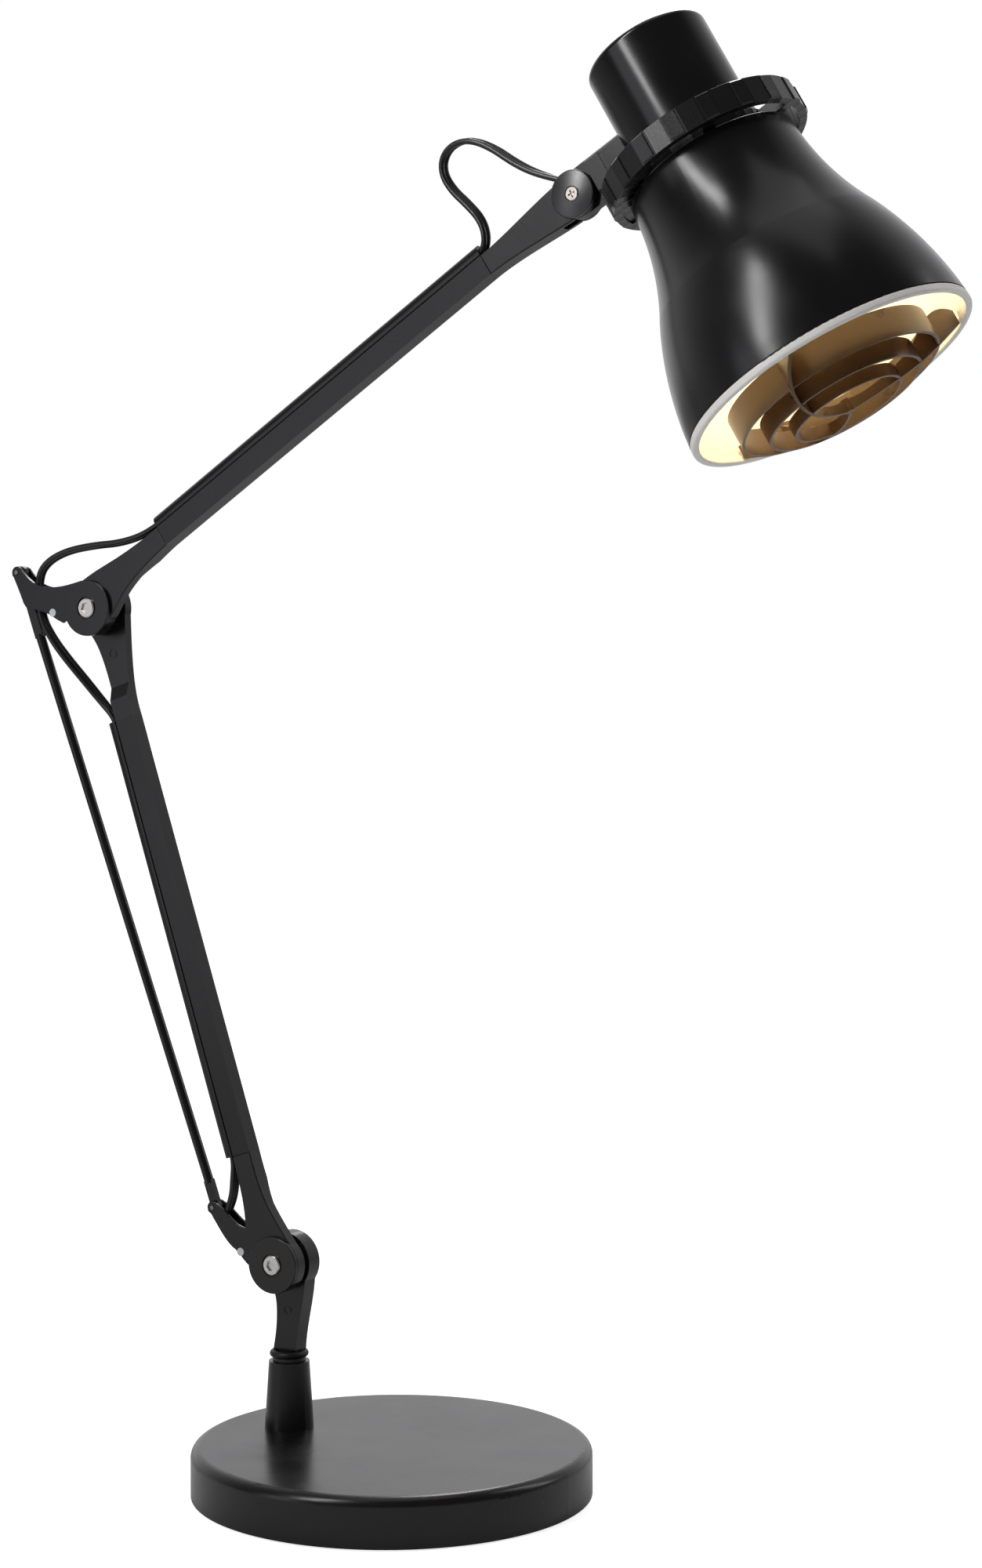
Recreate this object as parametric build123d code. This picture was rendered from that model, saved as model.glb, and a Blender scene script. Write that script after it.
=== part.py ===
from build123d import *

import math
import os

# Swing arm desk lamp: round weighted base, two spring-balanced arms with a steering rod beside the
# lower one, and a bell shade with a heat-proof grip ring and an anti-glare louver. Millimetres.
# Origin at the middle of the base on the table, +Z up, the arms in X-Z planes with the head
# towards +X, and every arm joint turning about +Y.

# ---- driving dimensions ------------------------------------------------------------------------
BASE_R = 100.0
BASE_H = 25.0
BASE_EDGE = 5.0
SHELL = 1.5                     # sheet of the base cover

STEM_X = -61.5                  # swivel axis, and the shoulder straight above it
STEM_FOOT_R = 12.5
STEM_TOP_R = 10.3
STEM_TOP_Z = 59.0
POST_Z = 64.6                   # underside of the bracket's post

SHOULDER_Z = 110.0
LOWER_LENGTH = 349.0            # shoulder to elbow
LOWER_ANGLE = 108.3             # degrees above +X
UPPER_LENGTH = 341.5            # elbow to head tilt
UPPER_ANGLE = 33.66
HEAD_TILT = 31.1                # shade axis from the vertical

HUB_R = 14.5
BOLT_R = 3.0
RUN = 0.05                      # radial clearance of a turning fit
GAP = 0.2                       # side clearance between turning faces

# depths, from the front (-Y) to the back
BRACKET_Y = (-4.1, 5.3)
LOWER_Y = -8.8                  # middle of the lower tube
UPPER_Y = -15.6                 # middle of the upper tube
HEAD_Y = -15.6                  # middle of the neck and shade
FOOT_BACK_Y = -7.2              # back of the lower arm's hub at the shoulder
TOP_FRONT_Y = -9.5              # front of the lower arm's hub at the elbow
UPPER_HUB_Y = (-20.3, -14.8)
SHOULDER_DISC_Y = (-15.5, -13.5)
SHOULDER_EAR_Y = (-12.2, -11.0)
SHOULDER_PLATE_Y = (-5.3, -4.1)
ELBOW_EAR_Y = (-22.3, -20.5)
ELBOW_PLATE_Y = (-14.6, -13.5)
FORK_FRONT_Y = (-20.1, -18.1)
FORK_BACK_Y = (-13.1, -11.1)
TONGUE_Y = (-17.9, -13.3)
TILT_DISC_Y = (-22.4, -20.9)

# arm extrusion: a box for the spring and a round-backed channel for the lead
TUBE_DEPTH = 9.0
BOX_H = 10.6
GROOVE = 0.8
RIDGE_MID = 12.8
TUBE_WALL = 1.2
BORE_W = 6.2
BORE_T = 4.2
LOWER_TUBE = (58.0, 290.0, -3.4)          # start, end, offset of its flat edge from the pivot line
UPPER_TUBE = (58.5, 285.5, -0.63)
UPPER_SKEW = -0.56                        # the upper tube's turn from its pivot line, degrees

# steering linkage
ELBOW_LEVER = (49.4, 157.4)               # length and angle of the lever arm
SHOULDER_LEVER = (46.4, 147.0)
LEVER_TIP_R = 3.1
ROD_PIN_R = 1.1
ROD_R = 2.5
EYE_CLEAR = 1.15                          # slack of the rod's upper eye on its pin
SPRING_PIN_R = 2.1

# head, heights above the rim plane along the shade's axis
TILT_AXIS = (-62.7, 144.1)                # radius and height of the tilt axis
CAP_R = 30.0
CAP_H = 181.0
NECK_R = 11.2
NECK_FLAT = 8.2                           # half depth across the neck's flats
SWIVEL_SEAM = 21.0                        # from the tilt axis to the swivel joint
RING_R = 50.0
RING_DIP = 0.7                            # how far the ring's alternate pads lie below the others
RING_H = (115.6, 128.4)
RING_PADS = 18
RING_TURN = -84.0                         # where a raised pad starts, degrees from the shade's +X
RIB_TURN = -62.0
WEB_SPREAD = 54.0                         # half the angle that the web on the neck's side takes
SHADE_TOP_H = 113.6
RIM_R = 70.2
SHADE_T = 1.1
TILT_DISC_R = 11.3
LOUVER_RINGS = ((49.6, -9.2, 14.0), (38.2, -13.8, 9.5), (26.9, -16.5, 6.3))   # radius, height, depth
LOUVER_T = 1.5
SPOKE_ARC = 50.0                          # radius of each spoke's curve, seen along the axis
SPOKE_TURN = -122.0                       # direction in which the first spoke leaves the middle

LEAD_W = 5.2
LEAD_T = 2.9
LOOP_R = 1.8
LEAD_INSET = 4.0                          # how far inside a channel its straight stretch of lead ends


def polar(length, degrees):
    a = math.radians(degrees)
    return (length * math.cos(a), length * math.sin(a))


def shifted(origin, length, degrees):
    step = polar(length, degrees)
    return (origin[0] + step[0], origin[1] + step[1])


SHOULDER = (STEM_X, SHOULDER_Z)
ELBOW = shifted(SHOULDER, LOWER_LENGTH, LOWER_ANGLE)
TILT = shifted(ELBOW, UPPER_LENGTH, UPPER_ANGLE)
LEVER_A = shifted(ELBOW, *ELBOW_LEVER)
LEVER_B = shifted(SHOULDER, *SHOULDER_LEVER)


def side_plane(pivot, degrees, y):
    """Plane of a side view: local x along the given direction, local y a quarter turn to its left."""
    a = math.radians(degrees)
    return Plane(origin=(pivot[0], y, pivot[1]), x_dir=(math.cos(a), 0, math.sin(a)), z_dir=(0, -1, 0))


def slab(face, pivot, degrees, y_range):
    """A side-view face made as thick as y_range, which runs from front to back."""
    return extrude(side_plane(pivot, degrees, y_range[1]) * face, y_range[1] - y_range[0])


def rod_y(pivot, radius, y_range):
    return slab(Circle(radius), pivot, 0, y_range)


def outline(*runs):
    """A closed face from runs of points; a run of three or more points is one smooth curve."""
    edges = []
    last = None
    for run in runs:
        if last is not None and last != run[0]:
            edges.append(Line(last, run[0]))
        edges.append(Line(*run) if len(run) == 2 else Spline(*run))
        last = run[-1]
    if last != runs[0][0]:
        edges.append(Line(last, runs[0][0]))
    return make_face(Wire(edges))


def soften(body, radius):
    """Rounds the edges of the front face, apart from those too small or too sharply joined for it."""
    kept = []
    softened = body
    for edge in body.edges().group_by(Axis.Y)[0]:
        try:
            softened = fillet([*kept, edge], radius)
            kept.append(edge)
        except ValueError:
            pass
    return softened


def node(name, *shapes):
    solids = []
    for shape in shapes:
        solids += shape.solids()
    export_step(Compound(children=solids) if len(solids) > 1 else solids[0], f"parts/{name}.step")


# ---- base ----------------------------------------------------------------------------------------
def base():
    skin = BASE_H - 0.8
    cover = Pos(0, 0, 0.8) * Cylinder(BASE_R, skin, align=(Align.CENTER, Align.CENTER, Align.MIN))
    cover = fillet(cover.edges().group_by(Axis.Z)[-1], BASE_EDGE)
    inside = Cylinder(BASE_R - SHELL, BASE_H - SHELL, align=(Align.CENTER, Align.CENTER, Align.MIN))
    inside = fillet(inside.edges().group_by(Axis.Z)[-1], BASE_EDGE - SHELL)
    cover -= inside
    stud = Pos(STEM_X, 0, BASE_H) * Cylinder(5.2, 60)
    outlet = Pos(0, BASE_R - 4, 12) * Rot(90, 0, 0) * Cylinder(4.6, 30)
    cover -= stud
    cover -= outlet
    weight_h = BASE_H - SHELL - 1.8
    weight = Pos(0, 0, 1.6) * Cylinder(BASE_R - SHELL - 0.4, weight_h, align=(Align.CENTER, Align.CENTER, Align.MIN))
    weight = fillet(weight.edges().group_by(Axis.Z)[-1], BASE_EDGE - SHELL + 0.3)
    weight -= stud
    weight -= Pos(STEM_X, 0, 1.6) * Cylinder(11, 12, align=(Align.CENTER, Align.CENTER, Align.MIN))
    weight -= Pos(0, BASE_R - 10, 12) * Rot(90, 0, 0) * Cylinder(7.5, 24)
    pad = Cylinder(BASE_R - 3, 1.5, align=(Align.CENTER, Align.CENTER, Align.MIN))
    node("base_cover", cover)
    node("base_weight", weight)
    node("base_pad", pad)

    grommet_profile = [(3.0, 0), (6.2, 0), (6.2, 1.3), (4.5, 1.3), (4.5, 3.4), (5.6, 3.4), (5.6, 5.0), (3.0, 5.0)]
    grommet = revolve(Plane.XZ * make_face(Polyline(*grommet_profile, close=True)), Axis.Z)
    node("lead_grommet", Pos(0, BASE_R + 1.4, 12) * Rot(90, 0, 0) * grommet)


# ---- stem and swivel -------------------------------------------------------------------------------
def stem():
    profile = [(3.2, 4.5), (5.0, 4.5), (5.0, BASE_H), (STEM_FOOT_R, BASE_H), (STEM_TOP_R, STEM_TOP_Z),
               (8.0, STEM_TOP_Z), (8.0, BASE_H + 9), (3.2, BASE_H + 9)]
    socket = revolve(Plane.XZ * make_face(Polyline(*profile, close=True)), Axis.Z)
    node("stem_socket", Pos(STEM_X, 0, 0) * socket)

    nut = extrude(RegularPolygon(8.5, 6) - Circle(5.0), 5.0)
    node("stem_nut", Pos(STEM_X, 0, 7.0) * nut)

    bush_profile = [(6.0 + RUN, BASE_H + 10), (7.95, BASE_H + 10), (7.95, STEM_TOP_Z), (6.0 + RUN, STEM_TOP_Z)]
    bush = revolve(Plane.XZ * make_face(Polyline(*bush_profile, close=True)), Axis.Z)
    node("swivel_bush", Pos(STEM_X, 0, 0) * bush)

    flange_top = STEM_TOP_Z + GAP + 1.8
    collar = Torus(8.1, (POST_Z - flange_top) / 2) - Cylinder(6.4, 10)
    node("swivel_collar", Pos(STEM_X, 0, (POST_Z + flange_top) / 2) * collar)


# ---- shoulder --------------------------------------------------------------------------------------
def bracket():
    left = [(-7.2, -45.4), (-5.7, -36.6), (-5.1, -25.0), (-6.2, -17.0), (-9.6, -11.0)]
    right = [(12.4, -8.2), (11.2, -18.0), (8.9, -30.0), (6.8, -45.4)]
    face = outline(left, right) + Circle(HUB_R + 0.6)
    body = soften(slab(face, SHOULDER, 0, BRACKET_Y), 0.6)
    spindle_top = POST_Z + 0.2
    body += Pos(STEM_X, 0, BASE_H + 11) * Cylinder(6.0, spindle_top - BASE_H - 11,
                                                   align=(Align.CENTER, Align.CENTER, Align.MIN))
    body += Pos(STEM_X, 0, STEM_TOP_Z + GAP) * Cylinder(8.4, 1.8, align=(Align.CENTER, Align.CENTER, Align.MIN))
    body -= rod_y(SHOULDER, BOLT_R + RUN, (-10, 10))
    mark = (STEM_X + 2.2, SHOULDER_Z - 24.5)
    body -= slab(Circle(2.2) - Circle(1.7), mark, 0, (BRACKET_Y[0] - 1, BRACKET_Y[0] + 0.3))
    node("shoulder_bracket", body)


def shoulder_lever():
    tip = polar(*SHOULDER_LEVER)
    upper = [(tip[0] + 2.4, tip[1] + 2.3), (-29.2, 22.6), (-24.8, 19.2), (-17.0, 16.6)]
    lower = [(-25.3, 5.6), (-30.2, 9.8), (-34.6, 15.2), (tip[0] - 2.9, tip[1] - 1.2)]
    blade = outline(upper, [(-15.6, 6.0), (-17.0, -1.9)], [(-19.8, 0.6), (-22.0, 3.0)], lower)
    blade += Pos(*tip) * Circle(LEVER_TIP_R)
    pin_at = polar(21.9, 168.8)
    notch = Pos(*pin_at) * Circle(SPRING_PIN_R)
    pin_hole = Pos(*tip) * Circle(ROD_PIN_R)
    ear = blade - Circle(HUB_R + 1.4) - notch - pin_hole
    plate = blade + Circle(12.6) + Pos(-9, 5) * Rectangle(18, 12) - notch - pin_hole - Circle(BOLT_R + RUN)
    web = blade & make_face(Polyline((-26.4, 4.6), (-24.4, 6.4), (-36.0, 20.6), (-44.0, 20.6), close=True))
    lever = soften(slab(ear, SHOULDER, 0, SHOULDER_EAR_Y), 0.4)
    lever += slab(plate, SHOULDER, 0, SHOULDER_PLATE_Y)
    lever += slab(web, SHOULDER, 0, (SHOULDER_EAR_Y[0], SHOULDER_PLATE_Y[1]))
    node("shoulder_lever", lever)
    pin_point = (SHOULDER[0] + pin_at[0], SHOULDER[1] + pin_at[1])
    node("shoulder_spring_pin", rod_y(pin_point, SPRING_PIN_R - 0.02, (SHOULDER_EAR_Y[0], SHOULDER_PLATE_Y[1])))
    node("rod_pin_lower", rod_y(LEVER_B, ROD_PIN_R, (SHOULDER_EAR_Y[0] - 0.3, SHOULDER_PLATE_Y[1])))


def hub_bolt(pivot, y_head, head_h, y_end):
    """Socket head cap screw: knurled-size head with a hexagon socket, and a plain shank."""
    head = rod_y(pivot, 5.0, (y_head, y_head + head_h))
    head = chamfer(head.edges().group_by(Axis.Y)[0], 0.5)
    socket = slab(RegularPolygon(2.9, 6), pivot, 12, (y_head - 1, y_head + head_h * 0.7))
    return head - socket + rod_y(pivot, BOLT_R, (y_head + head_h, y_end))


def hub_nut(pivot, y_range):
    return slab(RegularPolygon(5.8, 6) - Circle(BOLT_R), pivot, 0, y_range)


def shoulder_fasteners():
    head_seat = -14.7
    disc = soften(rod_y(SHOULDER, HUB_R - 0.1, SHOULDER_DISC_Y), 0.5)
    disc -= rod_y(SHOULDER, 5.9, (SHOULDER_DISC_Y[0] - 1, head_seat))
    disc -= rod_y(SHOULDER, BOLT_R, (-20, 0))
    node("shoulder_disc", disc)
    node("shoulder_bolt", hub_bolt(SHOULDER, head_seat - 1.6, 1.6, BRACKET_Y[1] + 5.2))
    node("shoulder_nut", hub_nut(SHOULDER, (BRACKET_Y[1], BRACKET_Y[1] + 4.6)))
    washer = slab(Circle(11.0) - Circle(BOLT_R + RUN), SHOULDER, 0, (FOOT_BACK_Y + GAP, SHOULDER_PLATE_Y[0]))
    node("shoulder_washer", washer)


# ---- arms ------------------------------------------------------------------------------------------
def tube(pivot, degrees, start, end, flat_at, y_mid):
    """The arm extrusion, its flat edge at flat_at beside the pivot line and its channel further out."""
    half = TUBE_DEPTH / 2
    body = Pos(BOX_H / 2, 0) * Rectangle(BOX_H, TUBE_DEPTH)
    neck_w = TUBE_DEPTH - 1.4
    body += Pos((BOX_H + RIDGE_MID) / 2, 0) * Rectangle(RIDGE_MID - BOX_H, neck_w)
    ridge_low = BOX_H + GROOVE
    body += Pos((ridge_low + RIDGE_MID) / 2, 0) * Rectangle(RIDGE_MID - ridge_low, TUBE_DEPTH)
    body += Pos(RIDGE_MID, 0) * Circle(half) & (Pos(RIDGE_MID + half / 2, 0) * Rectangle(half, TUBE_DEPTH))
    chamber = Pos(BOX_H / 2, 0) * Rectangle(BOX_H - 2 * TUBE_WALL, TUBE_DEPTH - 2 * TUBE_WALL)
    bore = Pos(RIDGE_MID + 0.2, 0) * Rot(0, 0, 90) * SlotOverall(BORE_W, BORE_T)
    section = body - chamber - bore
    return extrude(tube_plane(pivot, degrees, start, flat_at, y_mid) * section, end - start)


def tube_plane(pivot, degrees, at, flat_at, y_mid):
    a = math.radians(degrees)
    along = (math.cos(a), 0, math.sin(a))
    aside = (-math.sin(a), 0, math.cos(a))
    origin = (pivot[0] + along[0] * at + aside[0] * flat_at, y_mid, pivot[1] + along[2] * at + aside[2] * flat_at)
    return Plane(origin=origin, x_dir=aside, z_dir=along)


def spigot(pivot, degrees, at, length, flat_at, y_mid):
    plug = Pos(BOX_H / 2, 0) * Rectangle(BOX_H - 2 * TUBE_WALL - 0.2, TUBE_DEPTH - 2 * TUBE_WALL - 0.2)
    return extrude(tube_plane(pivot, degrees, at, flat_at, y_mid) * plug, length)


def beyond(pivot, degrees, at, way, y_mid):
    """Everything past a cut square across an arm, towards its far end (way 1) or near end (way -1)."""
    return extrude(tube_plane(pivot, degrees, at, 0, y_mid) * Rectangle(60, 40), 60 * way)


def spring(pivot, degrees, start, length, flat_at, y_mid):
    """Coil spring as the sleeve that its turns fill, closed by a hook plate at each end."""
    plane = tube_plane(pivot, degrees, start, flat_at, y_mid)
    sleeve = Pos(BOX_H / 2, 0) * (Circle(2.9) - Circle(1.9))
    return extrude(plane * sleeve, length)


def lead_run(pivot, degrees, start, end, flat_at, y_mid):
    section = Pos(RIDGE_MID + 0.2, 0) * Rot(0, 0, 90) * SlotOverall(LEAD_W, LEAD_T)
    length = end - start - 2 * LEAD_INSET
    return extrude(tube_plane(pivot, degrees, start + LEAD_INSET, flat_at, y_mid) * section, length)


def channel_point(pivot, degrees, at, flat_at, y_mid):
    """Middle of an arm's channel at the given distance along the arm."""
    point = tube_plane(pivot, degrees, at, flat_at, y_mid).from_local_coords(Vector(RIDGE_MID + 0.2, 0, 0))
    return (point.X, point.Y, point.Z)


def relief(pivot, degrees, points):
    """A prism cut from the back or front of a fitting: points are (along, y) in its own plane."""
    a = math.radians(degrees)
    plane = Plane(origin=(pivot[0], 0, pivot[1]), x_dir=(math.cos(a), 0, math.sin(a)),
                  z_dir=(-math.sin(a), 0, math.cos(a)))
    return extrude(plane * make_face(Polyline(*[(s, y) for s, y in points], close=True)), 60, both=True)


def lower_arm():
    start, end, flat = LOWER_TUBE
    front = LOWER_Y - TUBE_DEPTH / 2
    back = LOWER_Y + TUBE_DEPTH / 2
    node("lower_arm_tube", tube(SHOULDER, LOWER_ANGLE, start, end, flat, LOWER_Y))

    right = [(7.0, -12.6), (15.8, -9.6), (25.0, -6.7), (35.0, -4.4), (46.0, -3.4), (start, flat)]
    left = [(start, flat + BOX_H), (48.0, 7.7), (36.0, 8.5), (24.0, 10.6)]
    wall_edge = [(24.0, 10.6), (7.8, 15.3)]
    face = outline(right, left, wall_edge, [(1.0, 14.3), (0, 0)]) + Circle(HUB_R)
    foot = soften(slab(face, SHOULDER, LOWER_ANGLE, (front, back)), 0.6)
    foot -= relief(SHOULDER, LOWER_ANGLE, [(-20, FOOT_BACK_Y), (30, FOOT_BACK_Y), (44, back + 0.1),
                                                 (44, 6), (-20, 6)])
    pocket = make_face(Polyline((4, 12), (13, 4.5), (40, 4.5), (40, 30), (-6, 30), close=True))
    pocket -= Circle(HUB_R + 0.9)
    foot -= slab(pocket, SHOULDER, LOWER_ANGLE, (SHOULDER_EAR_Y[0] - 0.1, FOOT_BACK_Y + 0.1))
    foot += spigot(SHOULDER, LOWER_ANGLE, start - 0.5, 16, flat, LOWER_Y)
    foot -= rod_y(SHOULDER, BOLT_R + RUN, (-30, 10))
    node("lower_arm_foot", foot)

    right = [(end, flat), (302.0, -3.8), (314.0, -5.9), (329.0, -9.7), (341.0, -13.2)]
    left = [(341.0, 12.5), (334.0, 9.4), (326.0, 7.9), (318.0, 7.3), (308.0, 7.2), (end, flat + BOX_H)]
    face = outline(right, left) + Pos(LOWER_LENGTH, 0) * Circle(HUB_R + 0.9)
    top = slab(face, SHOULDER, LOWER_ANGLE, (front, back))
    top -= relief(SHOULDER, LOWER_ANGLE, [(300.5, front - 0.1), (307.5, TOP_FRONT_Y), (380, TOP_FRONT_Y),
                                                (380, -30), (300.5, -30)])
    top += spigot(SHOULDER, LOWER_ANGLE, end - 15.5, 16, flat, LOWER_Y)
    top -= rod_y(ELBOW, BOLT_R + RUN, (-30, 10))
    mark = shifted(SHOULDER, 324.2, LOWER_ANGLE)
    top -= slab(Circle(2.4) - Circle(1.8), mark, 0, (TOP_FRONT_Y - 1, TOP_FRONT_Y + 0.3))
    node("lower_arm_top", top)
    node("lower_spring", spring(SHOULDER, LOWER_ANGLE, start + 18, 150, flat, LOWER_Y))
    anchor_at = start + 176
    anchor = spring_anchor(SHOULDER, LOWER_ANGLE, anchor_at, flat, LOWER_Y)
    node("lower_spring_anchor", anchor)
    node("lead_lower_run", lead_run(SHOULDER, LOWER_ANGLE, start, end, flat, LOWER_Y))


def spring_anchor(pivot, degrees, at, flat_at, y_mid):
    """Plug across the tube's chamber that the fixed end of the spring hooks into."""
    block = Pos(BOX_H / 2, 0) * Rectangle(BOX_H - 2 * TUBE_WALL - 0.1, TUBE_DEPTH - 2 * TUBE_WALL - 0.1)
    return extrude(tube_plane(pivot, degrees, at, flat_at, y_mid) * block, 6)


def upper_arm():
    start, end, flat = UPPER_TUBE
    angle = UPPER_ANGLE + UPPER_SKEW
    front = UPPER_Y - TUBE_DEPTH / 2
    back = UPPER_Y + TUBE_DEPTH / 2
    node("upper_arm_tube", tube(ELBOW, angle, start, end, flat, UPPER_Y))

    low_side = [(4.0, -13.0), (12.0, -10.6), (21.4, -6.6), (32.3, -3.8), (45.6, -2.0), (start, -1.2)]
    high_side = [(start, -1.2 + BOX_H), (41.4, 9.9), (27.0, 11.4), (13.2, 13.3), (4.0, 13.9)]
    hub_front = UPPER_HUB_Y[0]
    face = outline(low_side, high_side) + Circle(HUB_R - 0.2)
    foot = soften(slab(face, ELBOW, UPPER_ANGLE, (hub_front, back)), 0.6)
    foot -= relief(ELBOW, UPPER_ANGLE, [(-20, UPPER_HUB_Y[1]), (34, UPPER_HUB_Y[1]), (46, back + 0.1),
                                              (46, 6), (-20, 6)])
    foot -= beyond(ELBOW, angle, start, 1, UPPER_Y)
    foot += spigot(ELBOW, angle, start - 0.5, 16, flat, UPPER_Y)
    foot -= rod_y(ELBOW, BOLT_R + RUN, (-30, 10))
    node("upper_arm_foot", foot)

    tube_end_low = flat - math.sin(math.radians(-UPPER_SKEW)) * end
    low_side = [(end, tube_end_low), (300.0, -4.6), (318.0, -7.2), (335.0, -9.6)]
    high_side = [(335.0, 9.8), (318.0, 8.9), (300.0, 7.6), (end, tube_end_low + BOX_H)]
    face = outline(low_side, high_side) + Pos(UPPER_LENGTH, 0) * Circle(TILT_DISC_R)
    fork = soften(slab(face, ELBOW, UPPER_ANGLE, (front, FORK_BACK_Y[1])), 0.6)
    slot = Pos(UPPER_LENGTH - 14 + 30, 0) * Rectangle(60, 40)
    fork -= slab(slot, ELBOW, UPPER_ANGLE, (FORK_FRONT_Y[1], FORK_BACK_Y[0]))
    fork -= beyond(ELBOW, angle, end, -1, UPPER_Y)
    fork += spigot(ELBOW, angle, end - 15.5, 16, flat, UPPER_Y)
    fork -= rod_y(TILT, 2.0, (-40, 10))
    node("upper_arm_fork", fork)
    node("upper_spring", spring(ELBOW, angle, start + 18, 150, flat, UPPER_Y))
    node("upper_spring_anchor", spring_anchor(ELBOW, angle, start + 176, flat, UPPER_Y))
    node("lead_upper_run", lead_run(ELBOW, angle, start, end, flat, UPPER_Y))


# ---- elbow -----------------------------------------------------------------------------------------
def elbow():
    tip = polar(*ELBOW_LEVER)
    upper = [(tip[0] + 2.2, tip[1] + 2.4), (-37.4, 15.4), (-31.8, 12.2), (-25.0, 11.0), (-14.5, 11.6), (-3.0, 14.1)]
    lower = [(-24.2, -3.2), (-33.0, -0.6), (-39.5, 0.6)]
    flank = [(-41.2, 2.8), (-44.8, 10.6), (tip[0] - 3.0, tip[1] - 0.9)]
    blade = outline(upper, [(0, 0), (-13.0, -6.0)], [(-15.4, -7.6), (-19.0, -6.0)], lower, flank)
    blade += Pos(*tip) * Circle(LEVER_TIP_R)
    pin_at = polar(21.9, -174.0)
    notch = Pos(*pin_at) * Circle(SPRING_PIN_R)
    pin_hole = Pos(*tip) * Circle(ROD_PIN_R)
    face = blade + Circle(HUB_R - 0.1) - notch - pin_hole
    front = soften(slab(face, ELBOW, 0, ELBOW_EAR_Y), 0.45)
    front -= rod_y(ELBOW, 5.9, (ELBOW_EAR_Y[0] - 1, ELBOW_EAR_Y[0] + 0.9))
    front -= rod_y(ELBOW, BOLT_R, (-30, 0))
    plate_face = blade + Circle(12.6) - notch - pin_hole - Circle(BOLT_R)
    plate = slab(plate_face, ELBOW, 0, ELBOW_PLATE_Y)
    web = Pos(-22.5, 6.4) * Rectangle(9.0, 8.0)
    lever = front + plate + slab(web, ELBOW, 0, (ELBOW_EAR_Y[0], ELBOW_PLATE_Y[1]))
    node("elbow_lever", lever)
    pin_point = (ELBOW[0] + pin_at[0], ELBOW[1] + pin_at[1])
    node("elbow_spring_pin", rod_y(pin_point, SPRING_PIN_R - 0.02, (ELBOW_EAR_Y[0] - 0.2, ELBOW_PLATE_Y[1])))
    node("rod_pin_upper", rod_y(LEVER_A, ROD_PIN_R, (ELBOW_EAR_Y[0] - 0.3, ELBOW_PLATE_Y[1])))
    seat = ELBOW_EAR_Y[0] + 0.9
    node("elbow_bolt", hub_bolt(ELBOW, seat - 1.6, 1.6, LOWER_Y + TUBE_DEPTH / 2 + 5.4))
    node("elbow_nut", hub_nut(ELBOW, (LOWER_Y + TUBE_DEPTH / 2 + GAP, LOWER_Y + TUBE_DEPTH / 2 + 4.8)))
    washer = slab(Circle(11.5) - Circle(BOLT_R), ELBOW, 0, (ELBOW_PLATE_Y[1], TOP_FRONT_Y - GAP))
    node("elbow_washer", washer)


def link_rod():
    """Steering rod, flattened at both ends where it goes between the ears of a lever."""
    dx = LEVER_A[0] - LEVER_B[0]
    dz = LEVER_A[1] - LEVER_B[1]
    length = math.hypot(dx, dz)
    angle = math.degrees(math.atan2(dz, dx))
    mid_low = (SHOULDER_EAR_Y[1] + SHOULDER_PLATE_Y[0]) / 2
    mid_high = (ELBOW_EAR_Y[1] + ELBOW_PLATE_Y[0]) / 2
    flat_t = 3.0
    low_flat = 14.0
    high_flat = 36.0
    low = slab(Pos(low_flat / 2, 0) * Rectangle(low_flat, 2 * ROD_R) + Circle(LEVER_TIP_R - 0.1),
               LEVER_B, angle, (mid_low - flat_t / 2, mid_low + flat_t / 2))
    low -= rod_y(LEVER_B, ROD_PIN_R + RUN, (-30, 10))
    high_face = Pos(length - high_flat / 2, 0) * Rectangle(high_flat, 2 * ROD_R)
    high_face += Pos(length, 0) * Circle(LEVER_TIP_R + 0.2)
    high = slab(high_face, LEVER_B, angle, (mid_high - flat_t / 2, mid_high + flat_t / 2))
    high -= rod_y(LEVER_A, ROD_PIN_R + EYE_CLEAR, (-30, 10))
    a = math.radians(angle)

    def along(distance, y):
        return Vector(LEVER_B[0] + distance * math.cos(a), y, LEVER_B[1] + distance * math.sin(a))

    start = along(low_flat - 1.5, mid_low)
    end = along(length - high_flat + 1.5, mid_high)
    axis = end - start
    shank = extrude(Plane(origin=start, z_dir=axis) * Circle(ROD_R), axis.length)
    node("link_rod", low + shank + high)


# ---- head ------------------------------------------------------------------------------------------
def head_place():
    t = math.radians(HEAD_TILT)
    x_dir = (math.cos(t), 0, math.sin(t))
    z_dir = (-math.sin(t), 0, math.cos(t))
    radius, height = TILT_AXIS
    origin = (TILT[0] - radius * x_dir[0] - height * z_dir[0], HEAD_Y,
              TILT[1] - radius * x_dir[2] - height * z_dir[2])
    return Plane(origin=origin, x_dir=x_dir, z_dir=z_dir).location


HEAD = head_place()


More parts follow.
